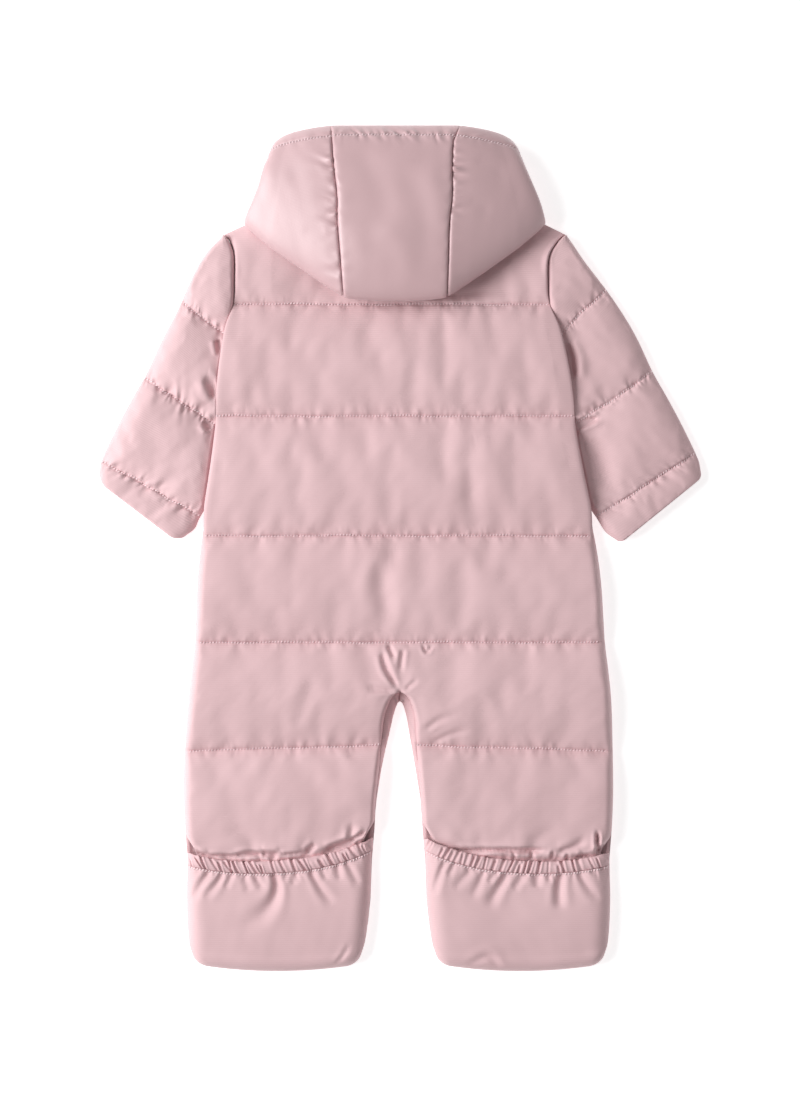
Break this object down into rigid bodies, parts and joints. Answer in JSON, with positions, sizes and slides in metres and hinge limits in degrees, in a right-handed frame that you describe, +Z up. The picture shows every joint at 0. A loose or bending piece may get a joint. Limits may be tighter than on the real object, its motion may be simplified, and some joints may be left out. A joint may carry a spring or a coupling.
{
  "type": "quilted baby snowsuit with hood and fold-over foot covers, laid flat face down",
  "caption": "Padded one-piece baby snowsuit lying face down: quilted back, sleeves, folded hood and gathered foot covers, with a front zip whose pull swings.",
  "frame": {"origin": "on the surface under the middle of the suit's outline", "axes": "+Y from the feet to the hood along the suit, +Z up from the surface to the suit's back, +X across it to the suit's own right arm"},
  "size_m": [0.5054, 0.7029, 0.0498],
  "materials": {
    "shell_cloth": "dusty pink woven polyester with a soft satin sheen, quilted across",
    "band_cloth": "the same dusty pink cloth, gathered on elastic",
    "hood_cloth": "the same dusty pink cloth, smooth, with a stitched hem at the face",
    "zip_tape": "dusty pink zip tape",
    "zip_teeth": "dusty pink moulded teeth",
    "zip_metal": "plain satin metal"
  },
  "bodies": {
    "suit": {"back": "shell_cloth", "front_left": "shell_cloth", "front_right": "shell_cloth", "sleeve_left": "shell_cloth", "sleeve_right": "shell_cloth", "foot_flap_left": "shell_cloth", "foot_flap_right": "shell_cloth", "foot_band_left": "band_cloth", "foot_band_right": "band_cloth", "hood_centre": "hood_cloth", "hood_side_left": "hood_cloth", "hood_side_right": "hood_cloth", "zip_tape_left": "zip_tape", "zip_tape_right": "zip_tape", "zip_chain": "zip_teeth", "zip_slider": "zip_metal"},
    "pull": {"zip_pull": "zip_metal"}
  },
  "joints": [
    {"name": "zip_pull_swing", "type": "hinge", "parent": "suit", "child": "pull", "pos_m": [0, 0.241, 0.0015], "axis": [1, 0, 0], "range_deg": [0, 170]}
  ]
}
